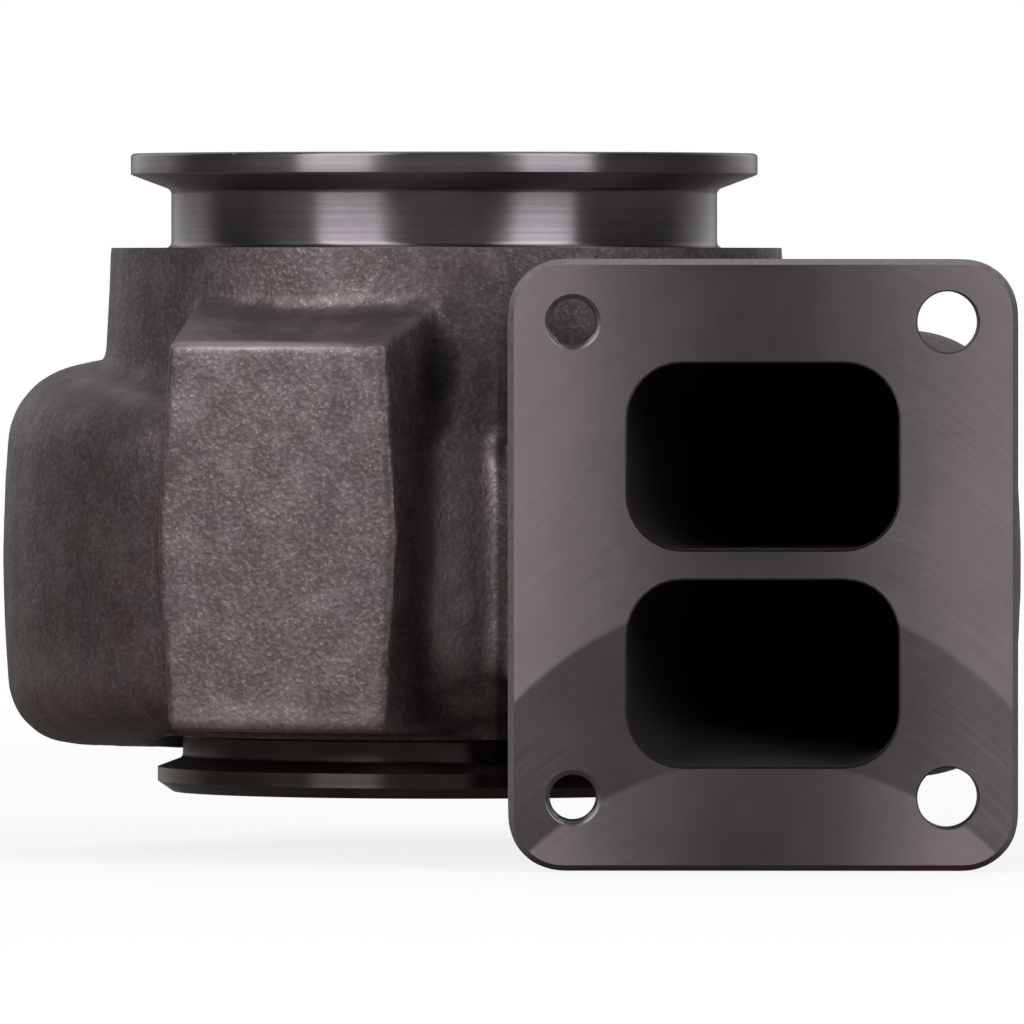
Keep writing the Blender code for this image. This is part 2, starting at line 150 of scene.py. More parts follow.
# %% A socket with Python's operators
class Wire:
    """An output socket of a material's node tree."""

    def __init__(self, tree, socket=None):
        self.tree = tree
        self.socket = socket

    def node(self, kind, settings=None, sockets=None, output=0):
        """A node of any kind: its settings first, then the values or wires of its sockets."""
        made = self.tree.nodes.new("ShaderNode" + kind)
        for name, value in (settings or {}).items():
            setattr(made, name, value)
        for name, value in (sockets or {}).items():
            if isinstance(value, Wire):
                self.tree.links.new(value.socket, made.inputs[name])
            else:
                made.inputs[name].default_value = value
        return Wire(self.tree, made.outputs[output])

    def also(self, name):
        """Another output of the same node."""
        return Wire(self.tree, self.socket.node.outputs[name])

    def vector(self, operation, *values, output="Vector"):
        """A Vector Math node on the values."""
        settings = {"operation": operation}
        return self.node("VectorMath", settings, dict(enumerate(values)), output)

    def parts(self):
        """The vector's X, Y and Z."""
        x = self.node("SeparateXYZ", None, {"Vector": self})
        return x, x.also("Y"), x.also("Z")

    def math(self, operation, *values):
        """A Math node on the values."""
        return self.node("Math", {"operation": operation}, dict(enumerate(values)))

    def __add__(self, other):
        return self.math("ADD", self, other)

    def __sub__(self, other):
        return self.math("SUBTRACT", self, other)

    def __rsub__(self, other):
        return self.math("SUBTRACT", other, self)

    def __mul__(self, other):
        return self.math("MULTIPLY", self, other)

    __radd__ = __add__
    __rmul__ = __mul__

    def step(self, low, high):
        """0 below low, 1 above high, and smooth between them."""
        settings = {"interpolation_type": "SMOOTHSTEP"}
        return self.node(
            "MapRange", settings, {"Value": self, "From Min": low, "From Max": high}
        )

    def noise(self, place, scale, detail=2.0, roughness=0.5):
        """A cloudy value round 0.5, with this many waves to the metre."""
        sockets = {"Vector": place, "Scale": scale, "Detail": detail, "Roughness": roughness}
        return self.node("TexNoise", None, sockets)

    def blend(self, share, first, second):
        """A colour between two colours. Sockets 6 and 7 are the Mix node's colours."""
        first, second = (c if isinstance(c, Wire) else (*c, 1) for c in (first, second))
        return self.node("Mix", {"data_type": "RGBA"}, {0: share, 6: first, 7: second}, 2)


def new_material(name):
    """A material with only a Principled shader, as (material, shader, first wire)."""
    material = bpy.data.materials.new(name)
    material.use_nodes = True
    tree = material.node_tree
    return material, tree.nodes["Principled BSDF"], Wire(tree)


def feed(shader, wires):
    """Links each wire to the shader's socket of that name."""
    for name, wire in wires.items():
        wire.tree.links.new(wire.socket, shader.inputs[name])


# %% [markdown]
# ## Floor and room
#
# The floor is one wide disc. The camera sees it nearly white by its own glow, mixed with a
# little lit paint that keeps the object's shadow. Rays that light the iron see plain
# darker paint, so that the underside stays as dark as on the real object.
#
# The world is the room round it, and shows each kind of ray what it needs. To the camera
# it is white. What lights the iron is dim, and lighter high up behind the camera. What
# the iron mirrors is more: a white backdrop to the left and the right behind the object,
# which fades straight behind it, and a pale wall on the left. They draw the light edges
# on the turned necks and on the volute's side.

# %% Floor
FLOOR_Z = cad_box[0].z - 0.0002
FLOOR_RADIUS = 9.0
SEEN_WHITE = 0.93
PAINT = (0.20, 0.16, 0.14)
NEAR_GLOW = 0.84  # the share of glow close to the object, and it grows to 1 further away
GLOW_GROWS, GLOW_FULL = 0.35, 1.6
MIRRORED_GLOW = 0.05

bpy.ops.object.select_all(action="DESELECT")
bpy.ops.mesh.primitive_circle_add(
    vertices=96, radius=FLOOR_RADIUS, fill_type="NGON", location=(0, 0, FLOOR_Z)
)
floor = bpy.context.object
floor.name = "floor"
bpy.ops.object.transform_apply(location=True)


def floor_paint():
    """Paint that is white to the camera, whiter still far away, and keeps a shadow."""
    material, shader, start = new_material("floor paint")
    shader.inputs["Roughness"].default_value = 0.9
    rays = start.node("LightPath", output="Is Camera Ray")
    seen = rays.math("MAXIMUM", rays, rays.also("Is Transmission Ray"))
    feed(shader, {"Base Color": start.blend(seen, PAINT, (SEEN_WHITE,) * 3)})
    place = start.node("TexCoord", output="Object")
    far = start.vector("LENGTH", place, output="Value").step(GLOW_GROWS, GLOW_FULL)
    share = seen * (far * (1 - NEAR_GLOW) + NEAR_GLOW)
    share = share + rays.also("Is Glossy Ray") * MIRRORED_GLOW
    tree = start.tree
    paint = Wire(tree, shader.outputs[0])
    glow = start.node("Emission", None, {"Color": (1, 1, 1, 1), "Strength": 1.0})
    mixed = start.node("MixShader", None, {0: share, 1: paint, 2: glow})
    tree.links.new(mixed.socket, tree.nodes["Material Output"].inputs["Surface"])
    return material


floor.data.materials.append(floor_paint())
print("floor", round(cad_box[0].z - FLOOR_Z, 4), "m below the part")

# %% Room and backdrop
ROOM, FRONT, BACKDROP, LEFT_WALL = 0.10, 0.30, 0.85, 1.3
FRONT_LOW, FRONT_RISE = 0.7, 1.4  # how much lighter the front grows with height
STRAIGHT_BEHIND = 0.05  # what is left of the backdrop there

world = bpy.data.worlds.new("room")
bpy.context.scene.world = world
world.use_nodes = True


def paint_world():
    """The room, by the direction of a ray: x to the right, y away from the camera, z up."""
    start = Wire(world.node_tree)
    x, y, z = start.node("TexCoord", output="Generated").parts()
    high = z.step(0.05, 0.45)
    on_left, on_right = y.step(0.30, 0.62), y.step(0.33, 0.88)
    behind = on_left + (on_right - on_left) * x.step(-0.1, 0.1)
    aside = start.math("ABSOLUTE", x).step(0.10, 0.45)
    behind = behind * (aside * (1 - STRAIGHT_BEHIND) + STRAIGHT_BEHIND)
    before = (y * -1).step(0.70, 0.98)
    wall = (x * -1).step(0.55, 0.85) * (1 - y.step(-0.60, 0.10)) * high
    rays = start.node("LightPath", output="Is Camera Ray")
    seen = rays.math("MAXIMUM", rays, rays.also("Is Transmission Ray"))
    mirrored = rays.also("Is Glossy Ray")
    room = before * (FRONT - ROOM) * (high * FRONT_RISE + FRONT_LOW) + ROOM
    room = room + mirrored * (behind * (BACKDROP - ROOM) + wall * LEFT_WALL)
    strength = seen + (1 - seen) * room
    background = world.node_tree.nodes["Background"]
    background.inputs["Color"].default_value = (1, 1, 1, 1)
    world.node_tree.links.new(strength.socket, background.inputs["Strength"])


paint_world()
print("room of", len(world.node_tree.nodes), "nodes")

# %% Lamps
LAMPS = [
    # name, place, aimed at, size across and up, watts
    ("left softbox", (-1.52, -1.60, 1.28), (-0.06, 0.05, 0.02), (1.30, 2.1), 47),
    ("right softbox", (1.52, -1.60, 1.32), (-0.06, 0.05, 0.02), (1.30, 2.05), 46),
    ("overhead softbox", (0.0, 0.6, 2.4), (-0.06, 0.10, 0.0), (1.6, 1.2), 8),
    ("back softbox", (-0.07, 2.2, 2.3), (-0.06, 0.10, 0.0), (1.6, 1.2), 16),
]


def lamp(name, place, aim, size, watts):
    """A soft box: an area lamp, turned to what it is aimed at."""
    light = bpy.data.lights.new(name, "AREA")
    light.shape = "RECTANGLE"
    light.size, light.size_y = size
    light.energy = watts
    obj = bpy.data.objects.new(name, light)
    bpy.context.scene.collection.objects.link(obj)
    obj.location = place
    obj.rotation_euler = (Vector(aim) - Vector(place)).to_track_quat("-Z", "Y").to_euler()


for row in LAMPS:
    lamp(*row)
print("lamps", len(LAMPS))

# %% [markdown]
# ## Sizes
#
# The casting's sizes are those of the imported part. Heights count from the middle of the
# inlet, radii from the turbine axis.

# %% Sizes of the casting and of what is machined
INLET_OFFSET, INLET_REACH = 0.0707, 0.120
FLANGE_WIDTH, FLANGE_HEIGHT, FLANGE_THICKNESS = 0.1124, 0.1348, 0.016
FLANGE_CORNER, FLANGE_CHAMFER = 0.0121, 0.0013
PORT_WIDTH, PORT_HEIGHT, PORT_CORNER, DIVIDER = 0.060, 0.0412, 0.0123, 0.0066
BEARING_FACE_Z, BEARING_BAND_RADIUS, BEARING_RIM = 0.0914, 0.0712, 0.0048
NECK_RADIUS, SHOULDER_Z, BAND_SLOPE = 0.0620, 0.0700, 20.5
OUTLET_FACE_Z, OUTLET_BAND_RADIUS, OUTLET_RIM = -0.0533, 0.0651, 0.0056
OUTLET_NECK_RADIUS = 0.0594
BODY_RADIUS, BODY_DRAFT, BELLY_Z, BELLY_END_Z = 0.0761, 2.9, -0.014, -0.038
SKIN_WALL, SIDE_WALL, SCROLL_INNER = 0.007, 0.008, 0.060
WHEEL_RADIUS, THROAT_Z, THROAT_WIDTH, TIP_THICKNESS = 0.047, 0.026, 0.016, 0.003
QUARTER = 12  # steps of a quarter turn
print("from end face to end face", round(BEARING_FACE_Z - OUTLET_FACE_Z, 4))

# %% [markdown]
# ## The volute, drawn ring by ring
#
# A volute is a tube whose section shrinks as it runs round the axis. Blender has no
# operator for that, but it is easy by hand: a cylinder is cut into rings, and every ring
# is then moved to its own section. The rings are flat outlines with rounded corners,
# first straight down the inlet duct and then turned round the axis.


# %% Outlines with rounded corners
def flat(x, y):
    return Vector((x, y))


def mix(a, b, share):
    return a + (b - a) * share


def eased(share):
    """A share from 0 to 1 that starts and ends gently."""
    share = min(max(share, 0.0), 1.0)
    return share * share * (3 - 2 * share)


def rounded(corners):
    """The outline through (corner, radius, steps), with each corner rounded."""
    points = []
    for i, (corner, radius, steps) in enumerate(corners):
        back = corners[i - 1][0] - corner
        on = corners[(i + 1) % len(corners)][0] - corner
        half = back.angle(on) / 2
        reach = min(radius / tan(half), 0.45 * min(back.length, on.length))
        inwards = (back.normalized() + on.normalized()).normalized()
        centre = corner + inwards * (reach / cos(half))
        start = corner + back.normalized() * reach - centre
        for step in range(steps + 1):
            turn = Matrix.Rotation((pi - 2 * half) * step / steps, 2)
            points.append(centre + turn @ start)
    return points


# %% A tube of rings
def tube(name, rings):
    """A cylinder cut into rings, each moved to its place."""
    count, last = len(rings[0]), len(rings) - 1
    bpy.ops.mesh.primitive_cylinder_add(vertices=count, radius=1, depth=last)
    obj = bpy.context.object
    obj.name = name
    bpy.ops.object.mode_set(mode="EDIT")
    bpy.ops.mesh.select_mode(type="EDGE")
    bpy.ops.mesh.select_all(action="DESELECT")
    bpy.ops.object.mode_set(mode="OBJECT")
    for edge in obj.data.edges:
        low, high = (obj.data.vertices[i].co.z for i in edge.vertices)
        edge.select = abs(high - low) > 0.5
    bpy.ops.object.mode_set(mode="EDIT")
    bpy.ops.mesh.subdivide(number_cuts=last - 1)
    bpy.ops.mesh.select_mode(type="VERT")
    bpy.ops.object.mode_set(mode="OBJECT")
    for vert in obj.data.vertices:
        ring = round(vert.co.z + last / 2)
        place = round(atan2(vert.co.y, vert.co.x) / (2 * pi) * count) % count
        vert.co = rings[ring][place]
    edit(obj)
    return close_up(obj)


# %% Sections of the outside, from the flange to the tongue
VOLUTE_RADIUS, VOLUTE_CLOSING, VOLUTE_END = 0.1314, 0.0616, 335.0
VOLUTE_TOP, VOLUTE_BOTTOM, VOLUTE_FALL = 0.0498, 0.0526, 2.0
TAIL_TOP, TAIL_BOTTOM = 0.0203, 0.0177
VOLUTE_CORNER, TAIL_CORNER, TOP_CORNER_EXCESS = 0.021, 0.009, 0.003
CREST_BULGE, CREST_RADIUS, ROOF_DRAFT = 0.0027, 0.300, 3.9
NECK_FLOOR_Z, DUCT_FLARE, INNER_CORNER = -0.0416, 0.004, 0.0015
CHAMBER_RADIUS = 0.052
EARLY = 2.4  # how much sooner the duct's side near the axis takes its new shape
DUCT_ROOT = 0.008  # how far the duct starts inside the flange
DUCT_STEPS, FLARE_STEPS, WRAP_STEP = 24, 4, 3.0


def volute_radius(wrap):
    return VOLUTE_RADIUS - VOLUTE_CLOSING * wrap / 360


def top_z(wrap):
    return mix(VOLUTE_TOP, TAIL_TOP, (wrap / VOLUTE_END) ** VOLUTE_FALL)


def bottom_z(wrap):
    return -mix(VOLUTE_BOTTOM, TAIL_BOTTOM, (wrap / VOLUTE_END) ** VOLUTE_FALL)


def skin_corners(inner, side, floor, bottom, top, roof, corner, inner_corner):
    """Floor and roof by the axis, and a side with a low crest between bottom and top."""
    return [
        (flat(inner, floor), inner_corner, 3),
        (flat(side, bottom), corner, 9),
        (flat(side + CREST_BULGE, (top + bottom) / 2), CREST_RADIUS, 7),
        (flat(side, top), corner + TOP_CORNER_EXCESS, 9),
        (flat(inner, roof), inner_corner, 3),
    ]


def skin_at(wrap):
    side = volute_radius(wrap) - CREST_BULGE
    inner = CHAMBER_RADIUS - INNER_CORNER
    top, bottom = top_z(wrap), bottom_z(wrap)
    roof = top + (side - inner) * tan(radians(ROOF_DRAFT))
    corner = mix(VOLUTE_CORNER, TAIL_CORNER, wrap / VOLUTE_END)
    floor = max(bottom, NECK_FLOOR_Z)
    return skin_corners(inner, side, floor, bottom, top, roof, corner, INNER_CORNER)


def skin_at_flange(grown):
    wall = SKIN_WALL + grown
    high = DIVIDER / 2 + PORT_HEIGHT + wall
    inner = INLET_OFFSET - PORT_WIDTH / 2 - wall
    side = INLET_OFFSET + PORT_WIDTH / 2 + wall
    corner = PORT_CORNER + wall
    return skin_corners(inner, side, -high, -high, high, high, corner, corner)


def blended(first, second, share, early):
    """Corners between two sections. Those of the side near the axis move by the early share."""
    made = []
    for (a, radius_a, steps), (b, radius_b, _) in zip(first, second):
        x = mix(a.x, b.x, share)
        z = mix(a.y, b.y, early if a.x < INLET_OFFSET else share)
        made.append((flat(x, z), mix(radius_a, radius_b, share), steps))
    return made


# %% Where a section goes
def at_depth(outline, y):
    return [Vector((point.x, y, point.y)) for point in outline]


def at_wrap(outline, wrap):
    turn = Matrix.Rotation(radians(wrap), 3, "Z")
    return [turn @ Vector((point.x, 0, point.y)) for point in outline]


def wraps(end):
    steps = round(end / WRAP_STEP)
    return [end * step / steps for step in range(steps + 1)]


def duct_stations(start):
    """Each station's depth, and how far both sides of the section have changed."""
    for step in range(DUCT_STEPS):
        share = step / DUCT_STEPS
        yield mix(start, 0, share), eased(share), eased(share * EARLY)


# %% The volute blank
def volute_blank():
    """The outside, with a flare where the duct leaves the flange."""
    back = FLANGE_THICKNESS - INLET_REACH
    rings = [at_depth(rounded(skin_at_flange(DUCT_FLARE)), back - DUCT_ROOT)]
    for step in range(FLARE_STEPS):
        turn = radians(90) * step / FLARE_STEPS
        grown = DUCT_FLARE * (1 - sin(turn))
        outline = rounded(skin_at_flange(grown))
        rings.append(at_depth(outline, back + DUCT_FLARE * (1 - cos(turn))))
    for y, share, early in duct_stations(back + DUCT_FLARE):
        section = blended(skin_at_flange(0), skin_at(0), share, early)
        rings.append(at_depth(rounded(section), y))
    for wrap in wraps(VOLUTE_END):
        rings.append(at_wrap(rounded(skin_at(wrap)), wrap))
    return tube("volute blank", rings)


volute = volute_blank()
print("volute blank", len(volute.data.vertices), "points")

# %% [markdown]
# ## The round body, the pad, the flange and the tongue
#
# The body between the two clamp flanges is round, so half of its section is drawn and
# spun. Both ends are left larger than they will be: the lathe takes off the rest. The pad
# starts as a six-sided prism and the flange as a block, because that is how the pattern
# maker would glue them on.

# %% The round body
TURN_STEPS = 144
STOCK = 0.0025  # what is left for the machines to take off
CAST_SHIFT = 0.0005  # how far the casting lies beside the axis that the lathe finds
CONE_STOCK = 0.004  # how far above the outlet's rim its stock reaches


def spun(name, outline, closed=False):
    """Half a section of (radius, height) points, spun round the axis."""
    obj = outline_object(name, [Vector((p[0], 0, p[1])) for p in outline], closed)
    edit(obj)
    bpy.ops.mesh.spin(steps=TURN_STEPS, angle=2 * pi, center=(0, 0, 0), axis=(0, 0, 1))
    return close_up(obj)


def body_blank():
    waist = BODY_RADIUS + (SHOULDER_Z - BELLY_Z) * tan(radians(BODY_DRAFT))
    crown = BODY_RADIUS - STOCK * tan(radians(BODY_DRAFT))
    outline = [
        (0, BEARING_FACE_Z + STOCK),
        (BEARING_BAND_RADIUS + STOCK, BEARING_FACE_Z + STOCK),
        (BEARING_BAND_RADIUS + STOCK, SHOULDER_Z + STOCK),
        (crown, SHOULDER_Z + STOCK),
    ]
    for step in range(QUARTER + 1):
        turn = radians(90) * step / QUARTER
        radius = mix(OUTLET_NECK_RADIUS + STOCK / 2, waist, cos(turn))
        outline.append((radius, mix(BELLY_Z, BELLY_END_Z, sin(turn))))
    outline += [
        (OUTLET_BAND_RADIUS + STOCK, OUTLET_FACE_Z + OUTLET_RIM + CONE_STOCK),
        (OUTLET_BAND_RADIUS + STOCK, OUTLET_FACE_Z - STOCK),
        (0, OUTLET_FACE_Z - STOCK),
    ]
    blank = spun("body blank", outline)
    edit(blank)
    bpy.ops.transform.translate(value=(CAST_SHIFT, 0, 0))
    bpy.ops.object.mode_set(mode="OBJECT")
    return blank


body = body_blank()
print("body blank", len(body.data.vertices), "points")

# %% The pad, a prism with six corners
PAD_TURN, PAD_RADIUS, PAD_SHIFT = 22.0, 0.095, -0.0018
PAD_TOP_Z, PAD_BOTTOM_Z, PAD_END_WIDTH, PAD_MID_WIDTH = 0.0483, -0.0378, 0.0518, 0.0577
PAD_SIDE_DRAFT, PAD_TOP_DRAFT, PAD_BOTTOM_DRAFT, PAD_ROOT_RADIUS = 8.0, 22.0, 1.0, 0.047


def pad_outline(depth):
    """The pad's six corners this far behind its face, seen from the front."""
    sides = depth * tan(radians(PAD_SIDE_DRAFT))
    end, mid = PAD_END_WIDTH / 2 + sides, PAD_MID_WIDTH / 2 + sides
    top = PAD_TOP_Z + depth * tan(radians(PAD_TOP_DRAFT))
    bottom = PAD_BOTTOM_Z - depth * tan(radians(PAD_BOTTOM_DRAFT))
    middle = (PAD_TOP_Z + PAD_BOTTOM_Z) / 2
    right = [(end, bottom), (mid, middle), (end, top)]
    left = [(-x, z) for x, z in right[::-1]]
    return [flat(x + PAD_SHIFT, z) for x, z in right + left]


def pad_blank():
    bpy.ops.mesh.primitive_cylinder_add(vertices=6, radius=1, depth=2)
    obj = bpy.context.object
    obj.name = "pad blank"
    turn = Matrix.Rotation(radians(-PAD_TURN), 3, "Z")
    root = PAD_RADIUS - PAD_ROOT_RADIUS
    for vert in obj.data.vertices:
        depth = 0 if vert.co.z > 0 else root
        place = round((atan2(vert.co.y, vert.co.x) / (2 * pi)) * 6 + 1.5) % 6
        corner = pad_outline(depth)[place]
        vert.co = turn @ Vector((corner.x, depth - PAD_RADIUS, corner.y))
    edit(obj)
    return close_up(obj)


pad = pad_blank()
print("pad blank", len(pad.data.vertices), "points")

# %% The flange block and the tongue's web
TONGUE_FILLET, TONGUE_HALF_HEIGHT = 0.0205, 0.027
TONGUE_ROOT = 0.004  # how far the web starts inside the flange


def select_edges(obj, keep):
    """Selects the edges whose two ends pass the test, in edit mode."""
    bpy.ops.mesh.select_mode(type="EDGE")
    bpy.ops.mesh.select_all(action="DESELECT")
    bpy.ops.object.mode_set(mode="OBJECT")
    for edge in obj.data.edges:
        a, b = (obj.data.vertices[i].co for i in edge.vertices)
        edge.select = keep(a, b)
    bpy.ops.object.mode_set(mode="EDIT")


def flange_blank():
    bpy.ops.mesh.primitive_cube_add(size=1)
    obj = bpy.context.object
    obj.name = "flange blank"
    for vert in obj.data.vertices:
        y = FLANGE_THICKNESS if vert.co.y > 0 else -STOCK
        place = Vector((vert.co.x * FLANGE_WIDTH, y, vert.co.z * FLANGE_HEIGHT))
        vert.co = place - AXIS
    edit(obj)
    select_edges(obj, lambda a, b: abs(a.y - b.y) > FLANGE_THICKNESS / 2)
    bpy.ops.mesh.bevel(offset=FLANGE_CORNER, segments=12)
    return close_up(obj)


def extruded(name, points, move):
    """A closed outline, filled and extruded."""
    obj = outline_object(name, points, True)
    edit(obj)
    bpy.ops.mesh.edge_face_add()
    bpy.ops.mesh.extrude_region_move(TRANSFORM_OT_translate={"value": move})
    return close_up(obj)


def tongue_blank():
    """A web between the duct and the body, with a large fillet at the flange."""
    back = FLANGE_THICKNESS - INLET_REACH
    duct_side = INLET_OFFSET - PORT_WIDTH / 2 - SKIN_WALL
    centre = flat(duct_side - TONGUE_FILLET, back)
    root = back - TONGUE_ROOT
    points = [flat(duct_side + SKIN_WALL, root), flat(duct_side, root)]
    for step in range(QUARTER + 1):
        turn = radians(90) * step / QUARTER
        points.append(centre + flat(cos(turn), sin(turn)) * TONGUE_FILLET)
    points.append(flat(centre.x, -SCROLL_INNER))
    points.append(flat(duct_side + SKIN_WALL, -SCROLL_INNER))
    outline = [Vector((p.x, p.y, -TONGUE_HALF_HEIGHT)) for p in points]
    return extruded("tongue blank", outline, (0, 0, 2 * TONGUE_HALF_HEIGHT))


flange = flange_blank()
tongue = tongue_blank()
print("blanks made")

# %% [markdown]
# ## One casting with soft edges
#
# The blanks are joined, and a voxel remesh turns them into one skin. To get the fillets
# of a casting, the skin is grown, remeshed and shrunk again: a corner that points inwards
# keeps a fillet as wide as the growth, and one that points outwards comes back sharp.
# A little smoothing then rounds what points outwards.

# %% Join, remesh, fillet
VOXEL = 0.0010
FILLET = 0.0025
SKIN_TRIANGLES = 130000


def remesh(smoothings):
    modify(casting, "REMESH", mode="VOXEL", voxel_size=VOXEL)
    modify(casting, "SMOOTH", factor=0.5, iterations=smoothings)


take(volute)
for blank in (body, pad, flange, tongue):
    blank.select_set(True)
bpy.ops.object.join()
casting = bpy.context.object
casting.name = "turbine_housing_casting"
remesh(1)
modify(casting, "DISPLACE", strength=FILLET, mid_level=0.0)
remesh(2)
modify(casting, "DISPLACE", strength=-FILLET, mid_level=0.0)
remesh(4)
print("cast skin", len(casting.data.polygons), "faces")
modify(casting, "DECIMATE", ratio=SKIN_TRIANGLES / (2 * len(casting.data.polygons)))
print("after decimation", len(casting.data.polygons), "faces")

# %% [markdown]
# No sand mould is flat. Two displacements with a clouds texture, a slow one and a quicker
# one, make the skin uneven by less than half a millimetre before anything is machined.

# %% The unevenness that sand leaves
SAND_WAVES = [(0.011, 0.00035), (0.0035, 0.00012)]  # width and depth

for wave, depth in SAND_WAVES:
    sand = bpy.data.textures.new("sand", "CLOUDS")
    sand.noise_scale = wave
    modify(casting, "DISPLACE", texture=sand, strength=depth, mid_level=0.5)
print("uneven by up to", round(sum(depth for _, depth in SAND_WAVES), 5), "m")

# %% [markdown]
# ## The cast finish
#
# Sand cast iron is grey brown and dull, with close grains of about a millimetre. They are
# far too many to model. A dense noise of that size makes them as a speckle in the colour
# and as a little bump, and the tops of the sharpest ones sparkle. Where the iron looks up,
# the speckle is finer and weaker.
#
# Use and painted light do the rest. The pocket over the tail is painted dark as shade, the
# gap beside the inlet flange is painted dark as the flange's shadow, and a few soft spots
# on the pad are dirt. Edges and corners that hands and gloves reach are rubbed light, and
# the tail, its ridge and its inner edge and the pad's upper edge get painted highlights.
# The lower half is browner, and painted shade darkens the volute's outer side and the
# shoulder.

# %% The skin of the casting
GRAIN, GRAIN_DEPTH = 0.00085, 0.00010
DIRT_AND_SHADE = (0.010, 0.008, 0.009)
DIRTY_AND_SHADED_PLACES = [
    # the middle and the reach of each dark place, and how dark it is: painted shade and dirt
    # painted shade in the pocket over the tail and round it
    ((-0.0713, 0.046, 0.0425), (0.0085, 0.030, 0.0175), 1.0),  # pocket over the tail
    ((-0.0640, 0.044, 0.0480), (0.0150, 0.030, 0.0330), 0.52),  # round that pocket
    # dirt: dark spots on the pad
    ((-0.1315, 0.036, 0.0215), (0.0060, 0.030, 0.0070), 0.22),  # spots on the pad
    ((-0.0965, 0.030, -0.0320), (0.0085, 0.030, 0.0050), 0.25),
    ((-0.1205, 0.030, -0.0255), (0.0060, 0.030, 0.0035), 0.20),
]
RUBBED_AND_HIGHLIT = [
    # the same for each lighter place: painted highlights and rubbed spots
    # painted highlights on the tail's ridge, the tail, its inner edge and the pad's upper edge
    ((-0.0612, 0.040, 0.000), (0.0038, 0.040, 0.036), 0.46),  # ridge of the tail
    ((-0.0690, 0.035, -0.004), (0.0100, 0.030, 0.050), 0.36),  # the tail
    ((-0.0735, 0.046, 0.002), (0.0055, 0.030, 0.034), 0.95),  # the tail's inner edge
    ((-0.1140, 0.030, 0.0482), (0.0340, 0.060, 0.0013), 0.90),  # the pad's upper edge
    ((-0.1080, 0.030, -0.0350), (0.0360, 0.060, 0.0065), 0.28),  # the pad's lower edge
    ((-0.1280, 0.036, 0.0350), (0.0065, 0.030, 0.0075), 0.30),  # a scuff on the pad
    ((-0.1550, 0.080, -0.0300), (0.0300, 0.070, 0.0140), 0.22),  # the volute's lower corner
]


def near(place, centre, reach):
    """1 in the middle of a soft egg round the centre, and 0 outside it."""
    arm = place.vector("SUBTRACT", place, Vector(centre))
    arm = place.vector("DIVIDE", arm, Vector(reach))
    return 1 - arm.vector("LENGTH", arm, output="Value").step(0.25, 1.0)


def cast_finish(name, brown, grey, light, metallic, roughness):
    """Grains on brown and grey patches, with dirt, wear, painted shade and painted highlights.
    """
    material, shader, start = new_material(name)
    shader.inputs["Metallic"].default_value = metallic
    place = start.node("TexCoord", output="Object")
    normal = start.node("NewGeometry", output="Normal")
    up = normal.parts()[2]
    x, y, z = place.parts()

    # the grains
    cells = start.node("TexVoronoi", None, {"Vector": place, "Scale": 1 / GRAIN})
    grains = cells.step(0.70, 0.10)
    lumps = start.noise(place, 850, 1, 0.5)
    coarse = 1 - up.step(0.45, 0.85) * 0.75
    height = (grains * 0.22 + lumps) * coarse
    bright = lumps.step(0.40, 0.66) * coarse
    sparkle = grains.step(0.35, 1.0) * bright

    # painted shadow in the gap beside the inlet flange, then painted shade and dirt, then wear
    # and painted highlights
    # painted shadow of the flange in the gap beside it, stronger lower down
    below = 1 - z.step(0.038, 0.062)
    dirt_and_shade = x.step(-0.0595, -0.0580) * (1 - y.step(0.050, 0.120)) * (below * 0.35 + 0.45)
    for centre, reach, share in DIRTY_AND_SHADED_PLACES:
        dirt_and_shade = dirt_and_shade.math("MAXIMUM", dirt_and_shade, near(place, centre, reach) * share)
    worn = normal.also("Pointiness").step(0.53, 0.62)
    # lighter on sharp edges by wear, and painted highlights in the listed places
    worn_and_highlit = worn * 0.6
    for centre, reach, share in RUBBED_AND_HIGHLIT:
        worn_and_highlit = worn_and_highlit.math("MAXIMUM", worn_and_highlit, near(place, centre, reach) * share)
    # painted shade: darker on the volute's outer side and at the shoulder
    painted_shade = (x * -1).step(0.118, 0.148) * y.step(0.042, 0.058) * 0.26
    painted_shade = painted_shade.math("MAXIMUM", painted_shade, z.step(0.050, 0.060) * 0.13)

    # the colour, from the patches up to the dirt and the painted shade
    patches = start.noise(place, 70, 3).step(0.36, 0.64)
    mottled = start.noise(place, 120, 4, 0.7).step(0.40, 0.70) * 0.26
    colour = start.blend(patches * 0.5 + z.step(-0.055, 0.060) * 0.5, brown, grey)
    colour = start.blend(sparkle * 0.32 + bright * 0.19 + worn_and_highlit + mottled, colour, light)
    colour = start.blend(painted_shade.math("MAXIMUM", painted_shade, dirt_and_shade * 0.85), colour, DIRT_AND_SHADE)
    rough = patches * 0.04 - sparkle * 0.08 - worn * 0.12 + dirt_and_shade * 0.10 + roughness
    bump = {"Strength": 1.0, "Distance": GRAIN_DEPTH, "Height": height}
    lumpy = start.node("Bump", None, bump)
    feed(shader, {"Base Color": colour, "Roughness": rough, "Normal": lumpy})
    return material


cast_skin = cast_finish(
    "cast skin", (0.104, 0.081, 0.075), (0.099, 0.079, 0.087), (0.30, 0.255, 0.263), 0.85, 0.50
)
# the gas side: the same skin painted much darker, as shade inside the channels
shaded_gas_side = cast_finish(
    "gas side skin painted dark", (0.026, 0.020, 0.021), (0.028, 0.023, 0.026), (0.06, 0.05, 0.05), 0.4, 0.7
)
print("cast finishes:", cast_skin.name, "and", shaded_gas_side.name)

# %% [markdown]
# ## Marks of the tools
#
# A tool leaves fine grooves, which spread a reflection across them and not along them.
# That makes the bright bands on a turned neck and the fans of light on a milled face.
#
# Grooves finer than a pixel can't be drawn one by one. On the turned faces the shader
# spreads its reflection across the rings by itself, which is what Anisotropic means, and a
# noise that changes with the feed only adds the few rings that the eye can pick out.

